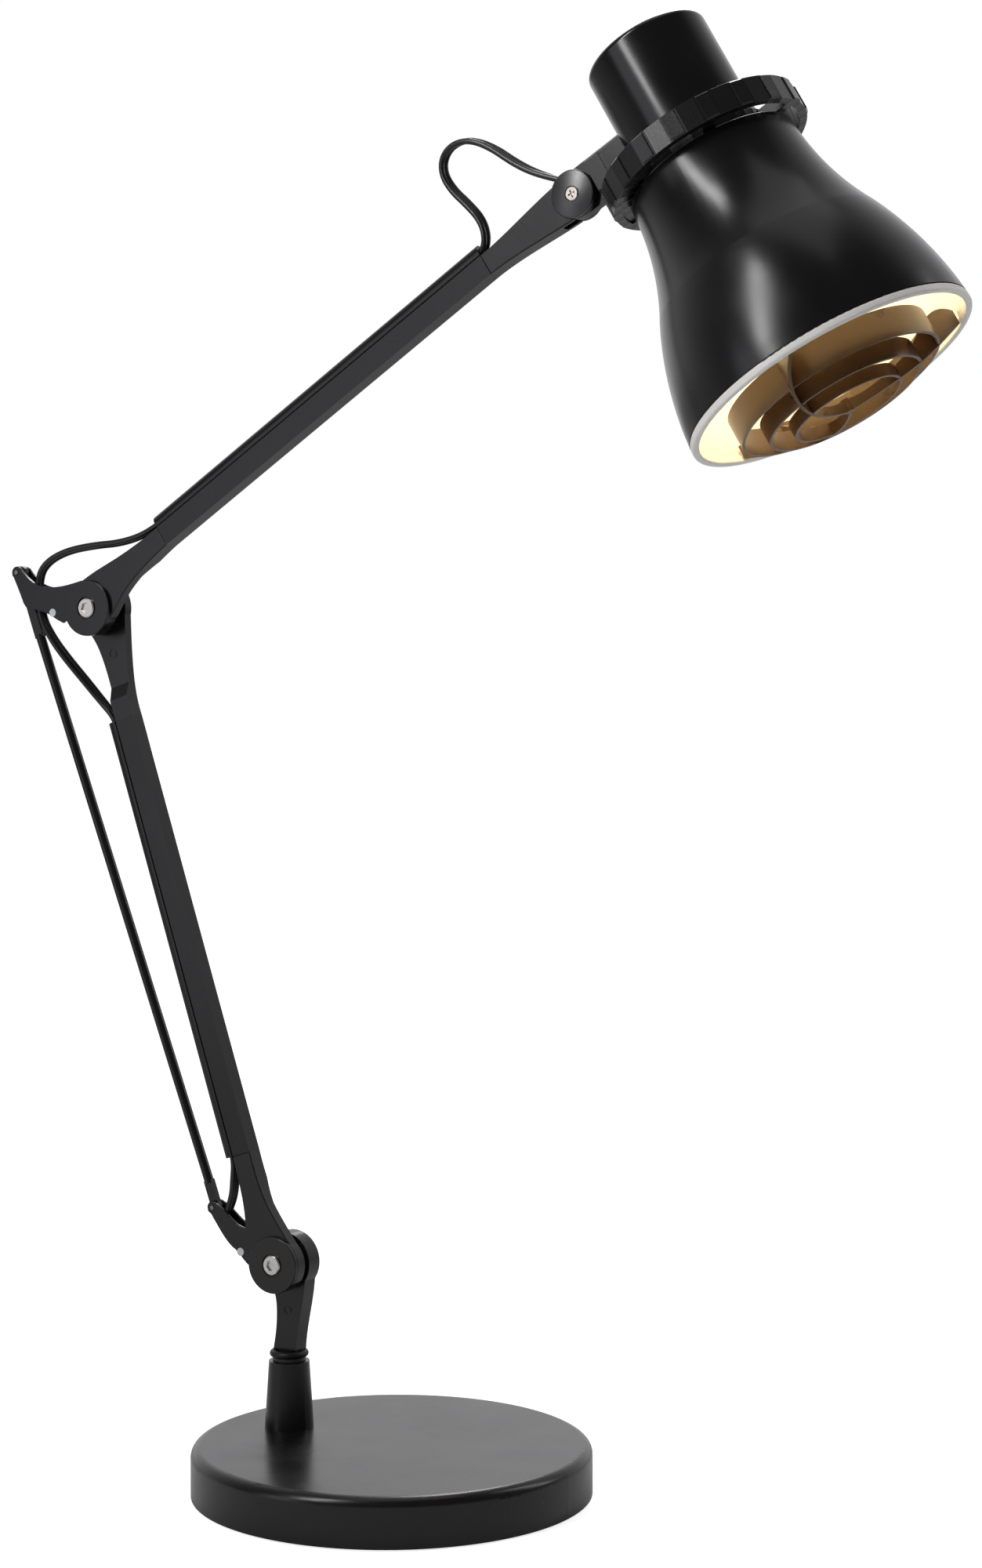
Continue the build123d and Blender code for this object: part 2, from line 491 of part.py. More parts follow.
def tilt_joint():
    disc = rod_y(TILT, TILT_DISC_R, TILT_DISC_Y)
    disc = fillet(disc.edges().group_by(Axis.Y)[0], 0.6)
    disc -= rod_y(TILT, 3.7, (TILT_DISC_Y[0] - 1, TILT_DISC_Y[0] + 0.9))
    disc -= rod_y(TILT, 2.0, (-40, 0))
    node("tilt_disc", disc)
    washer = slab(Circle(TILT_DISC_R - 0.3) - Circle(2.0), TILT, 0, (TILT_DISC_Y[1], FORK_FRONT_Y[0]))
    node("tilt_washer", washer)
    seat = TILT_DISC_Y[0] + 0.9
    screw = rod_y(TILT, 3.4, (seat - 1.3, seat))
    screw = chamfer(screw.edges().group_by(Axis.Y)[0], 0.4)
    cross = Rectangle(3.6, 0.8) + Rectangle(0.8, 3.6)
    screw -= slab(cross, TILT, 25, (seat - 2.0, seat - 0.5))
    screw += rod_y(TILT, 2.0, (seat, FORK_BACK_Y[1] + 4.4))
    node("tilt_screw", screw)
    nut = slab(RegularPolygon(4.1, 6) - Circle(2.0), TILT, 0, (FORK_BACK_Y[1], FORK_BACK_Y[1] + 3.6))
    node("tilt_nut", nut)

    tongue_face = Circle(NECK_R) + Pos(8, 0) * Rectangle(16, 2 * NECK_R)
    tongue = slab(tongue_face, TILT, HEAD_TILT, TONGUE_Y)
    body = neck_bar(12.8, SWIVEL_SEAM) + tongue
    body -= rod_y(TILT, 2.0 + RUN, (-40, 10))
    body -= neck_axis_rod(BOLT_R, 12.9, SWIVEL_SEAM + 1)
    end = Vector(*HEAD_LOOP[-1])
    way = (end - Vector(*HEAD_LOOP[-2])).normalized()
    body -= extrude(Plane(origin=end + way * 0.2, z_dir=way) * Circle(LOOP_R + 0.15), -12)
    node("neck_knuckle", body)


def neck_bar(near, far):
    """Length of the flattened round neck, between two distances from the tilt axis."""
    a = math.radians(HEAD_TILT)
    origin = (TILT[0] + near * math.cos(a), HEAD_Y, TILT[1] + near * math.sin(a))
    plane = Plane(origin=origin, x_dir=(-math.sin(a), 0, math.cos(a)), z_dir=(math.cos(a), 0, math.sin(a)))
    return extrude(plane * (Circle(NECK_R) & Rectangle(2 * NECK_R + 2, 2 * NECK_FLAT)), far - near)


def neck_axis_rod(radius, near, far):
    a = math.radians(HEAD_TILT)
    origin = (TILT[0] + near * math.cos(a), HEAD_Y, TILT[1] + near * math.sin(a))
    plane = Plane(origin=origin, z_dir=(math.cos(a), 0, math.sin(a)))
    return extrude(plane * Circle(radius), far - near)


def shade_curve(inset, low):
    """Outline of the bell, from its neck to the given height, moved inwards by inset."""
    neck = (41.4 - inset, SHADE_TOP_H)
    waist = (47.6 - inset, 78.4)
    turn = (55.9 - inset, 58.4)
    flare = ThreePointArc(neck, waist, turn)
    skirt = ThreePointArc(turn, (66.6 - inset, 26.0), (RIM_R - 0.1 - inset, low))
    return flare, skirt


def shell_between(outer_inset, inner_inset, low):
    flare_out, skirt_out = shade_curve(outer_inset, low)
    flare_in, skirt_in = shade_curve(inner_inset, low)
    edges = [flare_out, skirt_out, Line(skirt_out @ 1, skirt_in @ 1), skirt_in, flare_in,
             Line(flare_in @ 0, flare_out @ 0)]
    return revolve(Plane.XZ * make_face(Wire(edges)), Axis.Z)


def head():
    # cap: closed cup over the lampholder, with the swivel boss cast on its side
    cap = Pos(0, 0, SHADE_TOP_H + 1.2) * Cylinder(CAP_R, CAP_H - SHADE_TOP_H - 1.2,
                                                  align=(Align.CENTER, Align.CENTER, Align.MIN))
    cap = fillet(cap.edges().group_by(Axis.Z)[-1], 2.6)
    hollow = Pos(0, 0, SHADE_TOP_H) * Cylinder(CAP_R - 1.8, CAP_H - SHADE_TOP_H - 1.8,
                                               align=(Align.CENTER, Align.CENTER, Align.MIN))
    cap_outer = HEAD * cap
    boss = neck_bar(SWIVEL_SEAM + GAP, -TILT_AXIS[0] - CAP_R + 6)
    cap_body = cap_outer + boss - HEAD * hollow - neck_axis_rod(BOLT_R, SWIVEL_SEAM - 2, 45)
    node("lamp_cap", cap_body)
    bolt_head = neck_axis_rod(5.0, -TILT_AXIS[0] - CAP_R + 2.6, -TILT_AXIS[0] - CAP_R + 5.6)
    node("head_swivel_bolt", bolt_head + neck_axis_rod(BOLT_R - 0.02, 13.0, -TILT_AXIS[0] - CAP_R + 2.6))

    # grip ring: raised and lowered pads in turn, joined by ribs, and by a web on the neck's side,
    # to a hub round the cap's foot
    pitch = 360 / RING_PADS
    low, high = RING_H
    band = Circle(RING_R - RING_DIP)
    for i in range(RING_PADS):
        start, stop = RING_TURN + i * pitch, RING_TURN + (i + 0.5) * pitch
        band += Circle(RING_R) & make_face(Polyline(polar(RING_R - 4, start + 0.4), polar(RING_R + 2, start + 2.0),
                                                    polar(RING_R + 2, stop - 2.0), polar(RING_R - 4, stop - 0.4),
                                                    close=True))
    ring = extrude(Pos(0, 0, low) * (band - Circle(RING_R - 4.4)), high - low)
    rounded = Pos(0, 0, low) * Cylinder(RING_R, high - low, align=(Align.CENTER, Align.CENTER, Align.MIN))
    ring &= chamfer(rounded.edges().filter_by(GeomType.CIRCLE), 0.8)
    ring += extrude(Pos(0, 0, low) * (Circle(CAP_R + 3.0) - Circle(CAP_R + 0.1)), 7)
    for i in range(6):
        rib = Pos((CAP_R + RING_R) / 2 - 0.6, 0, low + 3) * Box(RING_R - CAP_R - 4.2, 6.0, 6)
        ring += Rot(0, 0, RIB_TURN + i * 60) * rib
    wedge = make_face(Polyline((0, 0), polar(90, 180 - WEB_SPREAD), (-90, 0), polar(90, 180 + WEB_SPREAD), close=True))
    ring += extrude(Pos(0, 0, low + 1) * ((Circle(RING_R - 4) - Circle(CAP_R + 2)) & wedge), 4)
    node("grip_ring", HEAD * ring)

    # bell shade with a flat top, its white liner and rolled rim
    shade = shell_between(0, SHADE_T, 2.4)
    plate = Pos(0, 0, SHADE_TOP_H) * Cylinder(41.4, 1.2, align=(Align.CENTER, Align.CENTER, Align.MIN))
    shade += fillet(plate.edges().group_by(Axis.Z)[-1], 0.8)
    shade -= Cylinder(20.4, 400)
    node("shade", HEAD * shade)
    liner = shell_between(SHADE_T + 0.2, SHADE_T + 1.0, 2.2)
    lip = Pos(0, 0, 0.3) * (Cylinder(RIM_R, 3.8) - Cylinder(RIM_R - 3.4, 10))
    lip = fillet(lip.edges().filter_by(GeomType.CIRCLE), 1.0)
    node("shade_liner", HEAD * (liner + lip))

    # anti-glare louver: three hoops, the inner ones lower and shallower, and three curved spokes
    louver = Pos(0, 0, -17.8) * Cylinder(2.2, 6.0, align=(Align.CENTER, Align.CENTER, Align.MIN))
    for radius, low, depth in LOUVER_RINGS:
        louver += Pos(0, 0, low) * (Cylinder(radius, depth, align=(Align.CENTER, Align.CENTER, Align.MIN))
                                    - Cylinder(radius - LOUVER_T, 100))
    lower_edge = Spline((0, -17.8), (26.9, -16.5), (38.2, -13.8), (49.6, -9.2), (66.0, -0.8))
    upper_edge = Spline((66.0, 6.0), (49.6, 4.6), (38.2, -4.6), (26.9, -10.4), (0, -12.0))
    dish = make_face(Wire([lower_edge, Line(lower_edge @ 1, upper_edge @ 0), upper_edge,
                           Line(upper_edge @ 1, lower_edge @ 0)]))
    dish = revolve(Plane.XZ * dish, Axis.Z)
    middle = polar(SPOKE_ARC, SPOKE_TURN + 90)
    reach = make_face(Polyline(middle, shifted(middle, 90, SPOKE_TURN - 90), shifted(middle, 90, SPOKE_TURN - 48),
                               shifted(middle, 90, SPOKE_TURN - 4), close=True))
    blade = (Pos(*middle) * (Circle(SPOKE_ARC + LOUVER_T / 2) - Circle(SPOKE_ARC - LOUVER_T / 2))) & reach
    blade = extrude(Pos(0, 0, -25) * blade, 40) & dish
    for i in range(3):
        louver += Rot(0, 0, i * 120) * blade
    node("louver", HEAD * louver)

    # lampholder, its shade ring, and the bulb
    holder = Pos(0, 0, 104) * (Cylinder(19.6, CAP_H - 1.8 - 104, align=(Align.CENTER, Align.CENTER, Align.MIN)))
    holder = fillet(holder.edges().group_by(Axis.Z)[-1], 4)
    holder -= Pos(0, 0, 100) * Cylinder(14.0, 30, align=(Align.CENTER, Align.CENTER, Align.MIN))
    node("lampholder", HEAD * holder)
    shade_ring = Pos(0, 0, SHADE_TOP_H - 5.0) * (Cylinder(26.0, 5.0, align=(Align.CENTER, Align.CENTER, Align.MIN))
                                                - Cylinder(19.7, 100))
    node("shade_ring_nut", HEAD * shade_ring)
    screw_cap = Pos(0, 0, 100) * Cylinder(13.2, 24, align=(Align.CENTER, Align.CENTER, Align.MIN))
    screw_cap += Pos(0, 0, 124) * Cylinder(4.5, 2.5, align=(Align.CENTER, Align.CENTER, Align.MIN))
    node("bulb_cap", HEAD * screw_cap)
    globe = Pos(0, 0, 58) * Sphere(29)
    globe += Pos(0, 0, 72) * Cone(25, 13, 28, align=(Align.CENTER, Align.CENTER, Align.MIN))
    globe -= Pos(0, 0, 58) * Sphere(27.9)
    globe -= Pos(0, 0, 72) * Cone(23.9, 11.9, 27, align=(Align.CENTER, Align.CENTER, Align.MIN))
    node("bulb_glass", HEAD * globe)


# ---- lead: stretches that cross a joint, chosen point by point -----------------------------------------
# each row is x, y, z on the lead's route
LOWER_RUN = (SHOULDER, LOWER_ANGLE)
UPPER_RUN = (ELBOW, UPPER_ANGLE + UPPER_SKEW)
HEAD_LOOP = [channel_point(*UPPER_RUN, UPPER_TUBE[1] - LEAD_INSET, UPPER_TUBE[2], UPPER_Y),
             channel_point(*UPPER_RUN, UPPER_TUBE[1] + 1.5, UPPER_TUBE[2], UPPER_Y),
             (63.6, -15.6, 616.2), (60.4, -15.6, 624.0), (53.2, -15.6, 631.4), (45.2, -15.6, 638.4),
             (39.8, -15.6, 646.2), (39.6, -15.6, 654.2), (45.0, -15.6, 660.2), (54.4, -15.6, 661.8),
             (66.0, -15.6, 657.6), (79.6, -15.6, 648.4), (92.5, -15.6, 642.0), (105.2, -15.6, 638.2)]
ELBOW_HIGH = [channel_point(*UPPER_RUN, UPPER_TUBE[0] + LEAD_INSET, UPPER_TUBE[2], UPPER_Y),
              channel_point(*UPPER_RUN, UPPER_TUBE[0] - 8, UPPER_TUBE[2], UPPER_Y),
              (-152.5, -15.8, 474.6), (-170.6, -16.2, 473.6), (-187.4, -17.0, 471.0), (-199.8, -17.5, 465.6),
              (-205.7, -17.55, 457.5), (-204.9, -17.55, 447.5)]
ELBOW_LOW = [(-204.9, -17.55, 447.5), (-204.1, -17.55, 437.5), (-197.4, -16.4, 425.4), (-188.6, -14.6, 414.4),
             (-179.4, -12.0, 403.6), (-170.8, -9.6, 393.2),
             channel_point(*LOWER_RUN, LOWER_TUBE[1] + 2.5, LOWER_TUBE[2], LOWER_Y),
             channel_point(*LOWER_RUN, LOWER_TUBE[1] - LEAD_INSET, LOWER_TUBE[2], LOWER_Y)]
SHOULDER_LOOP = [channel_point(*LOWER_RUN, LOWER_TUBE[0] + LEAD_INSET, LOWER_TUBE[2], LOWER_Y),
                 channel_point(*LOWER_RUN, LOWER_TUBE[0] - 2.5, LOWER_TUBE[2], LOWER_Y),
                 (-88.6, -8.8, 150.6), (-89.2, -8.7, 143.0), (-91.8, -8.5, 135.6), (-94.6, -8.3, 130.2)]


def loop(name, route):
    """A round lead through straight runs and tangent arcs, each arc as large as its runs allow."""
    radii = []
    for before, at, after in zip(route, route[1:], route[2:]):
        first = Vector(*at) - Vector(*before)
        second = Vector(*after) - Vector(*at)
        turn = math.radians(first.get_angle(second))
        radii.append(0.45 * min(first.length, second.length) / math.tan(turn / 2))
    path = FilletPolyline(*route, radius=radii)
    start = Plane(origin=path @ 0, z_dir=path % 0)
    solid = sweep(start * Circle(LOOP_R), path=path)
    print(name, "radii", [round(r, 1) for r in radii], "length", round(path.length, 1),
          "volume ratio", round(solid.volume / (math.pi * LOOP_R ** 2 * path.length), 4))
    node(name, solid)


def main():
    os.makedirs("parts", exist_ok=True)
    base()
    stem()
    bracket()
    shoulder_lever()
    shoulder_fasteners()
    lower_arm()
    upper_arm()
    elbow()
    link_rod()
    tilt_joint()
    head()
    loop("lead_head_loop", HEAD_LOOP)
    loop("lead_elbow_high", ELBOW_HIGH)
    loop("lead_elbow_low", ELBOW_LOW)
    loop("lead_shoulder_loop", SHOULDER_LOOP)


main()
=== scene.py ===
import math

import bpy
from mathutils import Matrix, Vector


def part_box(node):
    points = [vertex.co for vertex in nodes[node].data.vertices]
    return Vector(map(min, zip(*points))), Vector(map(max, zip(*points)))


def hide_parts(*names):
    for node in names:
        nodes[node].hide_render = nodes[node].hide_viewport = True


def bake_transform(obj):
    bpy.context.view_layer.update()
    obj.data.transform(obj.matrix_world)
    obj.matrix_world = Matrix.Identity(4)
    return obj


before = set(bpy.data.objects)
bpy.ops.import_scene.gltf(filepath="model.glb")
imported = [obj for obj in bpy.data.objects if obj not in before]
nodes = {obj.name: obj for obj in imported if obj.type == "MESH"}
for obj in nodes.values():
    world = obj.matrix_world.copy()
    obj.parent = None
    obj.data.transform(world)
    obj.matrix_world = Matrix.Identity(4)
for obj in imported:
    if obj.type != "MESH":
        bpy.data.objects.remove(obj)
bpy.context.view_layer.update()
scene = bpy.context.scene

MM = 0.001
HEAD_TILT = math.radians(31.1)      # shade axis from the vertical
LOWER_ANGLE = math.radians(108.3)   # lower arm above +X
UPPER_ANGLE = math.radians(33.1)    # upper tube above +X
RING_R = 50 * MM                    # grip ring's outside
RING_FACETS = 36                    # raised and lower pads together
RING_TURN = math.radians(-84.0)     # where a raised pad starts, from the shade's +X
DISC_DOME = 1.6 * MM                # how far the tilt disc's face seems to rise


# ---- camera ------------------------------------------------------------------------------------
def add_camera():
    """Camera at the photograph's viewing angle: turned from +Y towards -X, and looking slightly down."""
    data = bpy.data.cameras.new("camera")
    data.sensor_fit = "VERTICAL"
    data.sensor_height = 36.0
    data.lens = 67.54
    data.clip_end = 50.0
    camera = bpy.data.objects.new("camera", data)
    scene.collection.objects.link(camera)
    turn, dip = math.radians(29.99), math.radians(2.29)
    forward = Vector((-math.sin(turn) * math.cos(dip), math.cos(turn) * math.cos(dip), -math.sin(dip)))
    camera.location = (0.76847, -1.23285, 0.41127)
    camera.rotation_euler = forward.to_track_quat("-Z", "Y").to_euler()
    scene.camera = camera


add_camera()


# ---- material nodes ----------------------------------------------------------------------------
class Nodes:
    """A material's node tree, with short calls for the pieces that the finishes share."""

    def __init__(self, name):
        self.material = bpy.data.materials.new(name)
        self.material.use_nodes = True
        self.tree = self.material.node_tree
        self.shader = self.tree.nodes["Principled BSDF"]
        self.place = self.add("ShaderNodeTexCoord").outputs["Object"]

    def add(self, kind, **settings):
        node = self.tree.nodes.new(kind)
        for key, value in settings.items():
            setattr(node, key, value)
        return node

    def link(self, source, target):
        self.tree.links.new(source, target)

    def turned(self, turn, scale):
        """Object coordinates turned and stretched, for grain that lies along a direction."""
        mapping = self.add("ShaderNodeMapping")
        mapping.inputs["Rotation"].default_value = turn
        mapping.inputs["Scale"].default_value = scale
        self.link(self.place, mapping.inputs["Vector"])
        return mapping.outputs["Vector"]

    def noise(self, scale, detail, rough=0.55, vector=None):
        node = self.add("ShaderNodeTexNoise")
        node.inputs["Scale"].default_value = scale
        node.inputs["Detail"].default_value = detail
        node.inputs["Roughness"].default_value = rough
        self.link(vector or self.place, node.inputs["Vector"])
        return node.outputs["Fac"]

    def spread(self, source, low, high, start=0.3, end=0.7, clamp=True):
        """The source's range from start to end, spread over low to high."""
        node = self.add("ShaderNodeMapRange", clamp=clamp)
        for key, value in (("From Min", start), ("From Max", end), ("To Min", low), ("To Max", high)):
            node.inputs[key].default_value = value
        self.link(source, node.inputs["Value"])
        return node.outputs["Result"]

    def ramp(self, source, low, high):
        """A colour that goes from low to high with the source."""
        node = self.add("ShaderNodeValToRGB")
        for mark, at, colour in zip(node.color_ramp.elements, (0.3, 0.7), (low, high)):
            mark.position = at
            mark.color = (*colour, 1)
        self.link(source, node.inputs["Fac"])
        return node.outputs["Color"]

    def bump(self, height, depth, onto=None):
        node = self.add("ShaderNodeBump")
        node.inputs["Strength"].default_value = 1.0
        node.inputs["Distance"].default_value = depth
        self.link(height, node.inputs["Height"])
        if onto is not None:
            self.link(onto, node.inputs["Normal"])
        return node.outputs["Normal"]

    def set(self, **values):
        for key, value in values.items():
            self.shader.inputs[key.replace("_", " ")].default_value = value

    def colour(self, source):
        self.link(source, self.shader.inputs["Base Color"])

    def roughness(self, source):
        self.link(source, self.shader.inputs["Roughness"])

    def normal(self, source):
        self.link(source, self.shader.inputs["Normal"])


def scaled(tone, by):
    return tuple(by * c for c in tone)


def dark_finish(name, tone, rough, grain, depth, specular, waves=0.0, streak=None):
    """Black lacquer, coating or moulding. tone is its linear colour; grain is the size of its texture,
    depth its height and waves the height of its slow ripples, in metres. streak lays fine drawn lines
    along a direction: (rotation, stretch)."""
    n = Nodes(name)
    n.set(Metallic=0.0, IOR=1.5, Specular_IOR_Level=specular)
    cloud = n.noise(28.0, 4.0)
    n.colour(n.ramp(cloud, scaled(tone, 0.82), scaled(tone, 1.25)))
    n.roughness(n.spread(cloud, rough - 0.035, rough + 0.035))
    surface = n.bump(n.noise(1.0 / grain, 2.0), depth)
    if streak is not None:
        lines = n.noise(1.0, 3.0, 0.6, n.turned(*streak))
        surface = n.bump(lines, 0.00002, onto=surface)
    if waves:
        surface = n.bump(n.noise(17.0, 1.5, 0.4), waves, onto=surface)
    n.normal(surface)
    return n.material


def metal_finish(name, tone, rough, grain=0.0006, depth=0.00001):
    """Bare or plated metal."""
    n = Nodes(name)
    n.set(Metallic=1.0)
    cloud = n.noise(260.0, 4.0)
    n.colour(n.ramp(cloud, scaled(tone, 0.8), tone))
    n.roughness(n.spread(cloud, rough - 0.06, rough + 0.08))
    n.normal(n.bump(n.noise(1.0 / grain, 2.0), depth))
    return n.material


def plain_finish(name, low, high, rough, grain, depth, **sockets):
    """Any other surface, its colour clouded between low and high."""
    n = Nodes(name)
    n.set(**sockets)
    cloud = n.noise(40.0, 4.0)
    n.colour(n.ramp(cloud, low, high))
    n.roughness(n.spread(cloud, rough - 0.05, rough + 0.05))
    n.normal(n.bump(n.noise(1.0 / grain, 2.0), depth))
    return n.material


BLACK = (0.0052, 0.0047, 0.0054)
SOFT_BLACK = (0.0066, 0.0061, 0.0069)
RUBBER = (0.0050, 0.0048, 0.0052)


def drawn(angle):
    """Fine lines along an arm that rises at the angle above +X."""
    return ((0, angle, 0), (9.0, 900.0, 900.0))


finishes = {
    "base": dark_finish("base_lacquer", BLACK, 0.26, 0.0011, 0.000008, 0.40, waves=0.00035),
    "stem": dark_finish("stem_lacquer", BLACK, 0.25, 0.0011, 0.000006, 0.36),
    "shade": dark_finish("shade_lacquer", BLACK, 0.24, 0.0009, 0.000005, 0.38,
                         streak=((0, HEAD_TILT, 0), (12.0, 12.0, 1500.0))),
    "cap": dark_finish("cap_moulding", BLACK, 0.21, 0.0007, 0.000007, 0.38),
    "disc": dark_finish("disc_moulding", SOFT_BLACK, 0.27, 0.0006, 0.000008, 0.42),
    "casting": dark_finish("casting_coat", SOFT_BLACK, 0.27, 0.0008, 0.000014, 0.40),
    "lower_tube": dark_finish("lower_extrusion_coat", BLACK, 0.26, 0.0008, 0.000006, 0.36,
                              streak=drawn(LOWER_ANGLE)),
    "upper_tube": dark_finish("upper_extrusion_coat", BLACK, 0.26, 0.0008, 0.000006, 0.36,
                              streak=drawn(UPPER_ANGLE)),
    "rod": dark_finish("rod_coat", BLACK, 0.24, 0.0009, 0.000005, 0.42),
    "lead": dark_finish("lead_sheath", SOFT_BLACK, 0.28, 0.0007, 0.000003, 0.5),
    "rubber": dark_finish("black_rubber", RUBBER, 0.45, 0.0006, 0.000016, 0.3),
    "pad": dark_finish("foot_sheet", (0.02, 0.02, 0.02), 0.7, 0.0005, 0.00006, 0.3),
    "holder": dark_finish("holder_moulding", RUBBER, 0.2, 0.0010, 0.000004, 0.5),
    "iron": plain_finish("cast_iron", (0.11, 0.105, 0.10), (0.17, 0.16, 0.15), 0.7, 0.0012, 0.0002),
    "bush": plain_finish("bush_moulding", (0.52, 0.50, 0.45), (0.60, 0.58, 0.53), 0.45, 0.0008, 0.00001),
    "bolt": metal_finish("bright_zinc", (0.66, 0.64, 0.60), 0.30),
    "pin": plain_finish("dull_zinc_pin", (0.50, 0.52, 0.53), (0.66, 0.68, 0.69), 0.5, 0.0005, 0.00002,
                        Metallic=0.35),
    "screw": metal_finish("nickel_plate", (0.46, 0.42, 0.38), 0.30),
    "rivet": metal_finish("worn_rivet", (0.30, 0.235, 0.22), 0.42, 0.0004, 0.00003),
    "spring": metal_finish("oiled_spring", (0.32, 0.32, 0.33), 0.34),
    "bulb_cap": metal_finish("screw_cap_metal", (0.78, 0.76, 0.70), 0.3),
    "liner": plain_finish("liner_lacquer", (0.80, 0.785, 0.75), (0.86, 0.85, 0.82), 0.42, 0.0009, 0.000008),
    # The louver itself is dark grey. Its brown colour is painted warm light from the bulb, and its warm
    # specular tint is a painted warm reflection.
    "louver": plain_finish("louver_painted_warm_light", (0.046, 0.022, 0.008), (0.068, 0.034, 0.013), 0.30, 0.0006,
                           0.000008, Specular_IOR_Level=0.85, Specular_Tint=(1.0, 0.80, 0.56, 1.0)),
}


def lit_glass():
    """The bulb's frosted glass, lit."""
    n = Nodes("lit_bulb")
    n.set(Emission_Color=(1.0, 0.79, 0.47, 1.0), Emission_Strength=8.5, IOR=1.5)
    cloud = n.noise(60.0, 3.0)
    n.colour(n.ramp(cloud, (0.84, 0.80, 0.70), (0.90, 0.87, 0.80)))
    n.roughness(n.spread(cloud, 0.3, 0.45))
    n.normal(n.bump(n.noise(1200.0, 2.0), 0.00001))
    return n.material


finishes["bulb"] = lit_glass()


def domed_disc():
    """The tilt disc's satin face, a shallow dome."""
    low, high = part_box("tilt_disc")
    n = Nodes("domed_tilt_disc")
    n.set(IOR=1.5, Specular_IOR_Level=0.9)
    n.colour(n.ramp(n.noise(28.0, 4.0), (0.012, 0.012, 0.014), (0.018, 0.018, 0.020)))
    n.roughness(n.spread(n.noise(1600.0, 2.0), 0.30, 0.36))
    centred = n.add("ShaderNodeMapping")
    centred.inputs["Location"].default_value = [-(a + b) / 2 for a, b in zip(low, high)]
    n.link(n.place, centred.inputs["Vector"])
    flat = n.add("ShaderNodeVectorMath", operation="MULTIPLY")
    flat.inputs[1].default_value = (1.0, 0.0, 1.0)
    n.link(centred.outputs["Vector"], flat.inputs[0])
    reach = n.add("ShaderNodeVectorMath", operation="LENGTH")
    n.link(flat.outputs["Vector"], reach.inputs[0])
    square = n.add("ShaderNodeMath", operation="POWER")
    square.inputs[1].default_value = 2.0
    n.link(reach.outputs["Value"], square.inputs[0])
    radius = (high[0] - low[0]) / 2
    n.normal(n.bump(n.spread(square.outputs["Value"], 1.0, 0.0, 0.0, radius ** 2), DISC_DOME))
    return n.material


finishes["tilt_disc"] = domed_disc()


def faceted_ring():
    """The grip ring's moulding: each pad's outer face is flat, so it takes the light in steps."""
    low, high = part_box("grip_ring")
    n = Nodes("faceted_ring_moulding")
    n.set(IOR=1.5, Specular_IOR_Level=0.5)
    n.colour(n.ramp(n.noise(28.0, 4.0), (0.0056, 0.0052, 0.0060), (0.0085, 0.0080, 0.0090)))
    n.roughness(n.spread(n.noise(1600.0, 2.0), 0.24, 0.32))
    centred = n.add("ShaderNodeVectorMath", operation="SUBTRACT")
    centred.inputs[1].default_value = [(a + b) / 2 for a, b in zip(low, high)]
    n.link(n.place, centred.inputs[0])
    upright = n.add("ShaderNodeVectorRotate", rotation_type="AXIS_ANGLE")
    upright.inputs["Axis"].default_value = (0, 1, 0)
    upright.inputs["Angle"].default_value = HEAD_TILT
    n.link(centred.outputs["Vector"], upright.inputs["Vector"])
    parts = n.add("ShaderNodeSeparateXYZ")
    n.link(upright.outputs["Vector"], parts.inputs["Vector"])
    turn = n.add("ShaderNodeMath", operation="ARCTAN2")
    n.link(parts.outputs["Y"], turn.inputs[0])
    n.link(parts.outputs["X"], turn.inputs[1])
    pads = n.spread(turn.outputs["Value"], 0.0, float(RING_FACETS),
                    RING_TURN - 2 * math.pi, RING_TURN, clamp=False)
    within = n.add("ShaderNodeMath", operation="FRACT")
    n.link(pads, within.inputs[0])
    aside = n.add("ShaderNodeMath", operation="SUBTRACT")
    aside.inputs[1].default_value = 0.5
    n.link(within.outputs["Value"], aside.inputs[0])
    square = n.add("ShaderNodeMath", operation="POWER")
    square.inputs[1].default_value = 2.0
    n.link(aside.outputs["Value"], square.inputs[0])
    rise = RING_R * (math.pi / RING_FACETS) ** 2 / 2      # between an arc over one pad and its chord
    n.normal(n.bump(n.spread(square.outputs["Value"], 0.0, 1.0, 0.0, 0.25), rise))
    return n.material


finishes["ring"] = faceted_ring()

NODE_FINISH = {
    "base": ("base_cover",),
    "stem": ("stem_socket",),
    "iron": ("base_weight",),
    "pad": ("base_pad",),
    "bush": ("swivel_bush",),
    "rubber": ("lead_grommet", "swivel_collar", "tilt_washer"),
    "casting": ("shoulder_bracket", "shoulder_lever", "lower_arm_foot", "lower_arm_top", "elbow_lever",
                "upper_arm_foot", "upper_arm_fork", "neck_knuckle"),
    "disc": ("shoulder_washer", "shoulder_disc", "elbow_washer", "lower_spring_anchor",
             "upper_spring_anchor"),
    "tilt_disc": ("tilt_disc",),
    "lower_tube": ("lower_arm_tube",),
    "upper_tube": ("upper_arm_tube",),
    "rod": ("link_rod",),
    "lead": ("lead_lower_run", "lead_upper_run", "lead_head_loop", "lead_elbow_high", "lead_elbow_low",
             "lead_shoulder_loop"),
    "spring": ("lower_spring", "upper_spring"),
    "bolt": ("shoulder_bolt", "shoulder_nut", "elbow_bolt", "elbow_nut", "stem_nut", "tilt_nut",
             "head_swivel_bolt"),
    "pin": ("shoulder_spring_pin", "elbow_spring_pin"),
    "screw": ("tilt_screw",),
    "rivet": ("rod_pin_lower", "rod_pin_upper"),
    "cap": ("lamp_cap",),
    "ring": ("grip_ring",),
    "shade": ("shade",),
    "liner": ("shade_liner",),
    "louver": ("louver",),
    "holder": ("lampholder", "shade_ring_nut"),
    "bulb_cap": ("bulb_cap",),
    "bulb": ("bulb_glass",),
}
for finish, names in NODE_FINISH.items():
    for name in names:
        for slot in nodes[name].material_slots:
            slot.material = finishes[finish]
left_plain = set(nodes) - {name for names in NODE_FINISH.values() for name in names}
assert not left_plain, left_plain


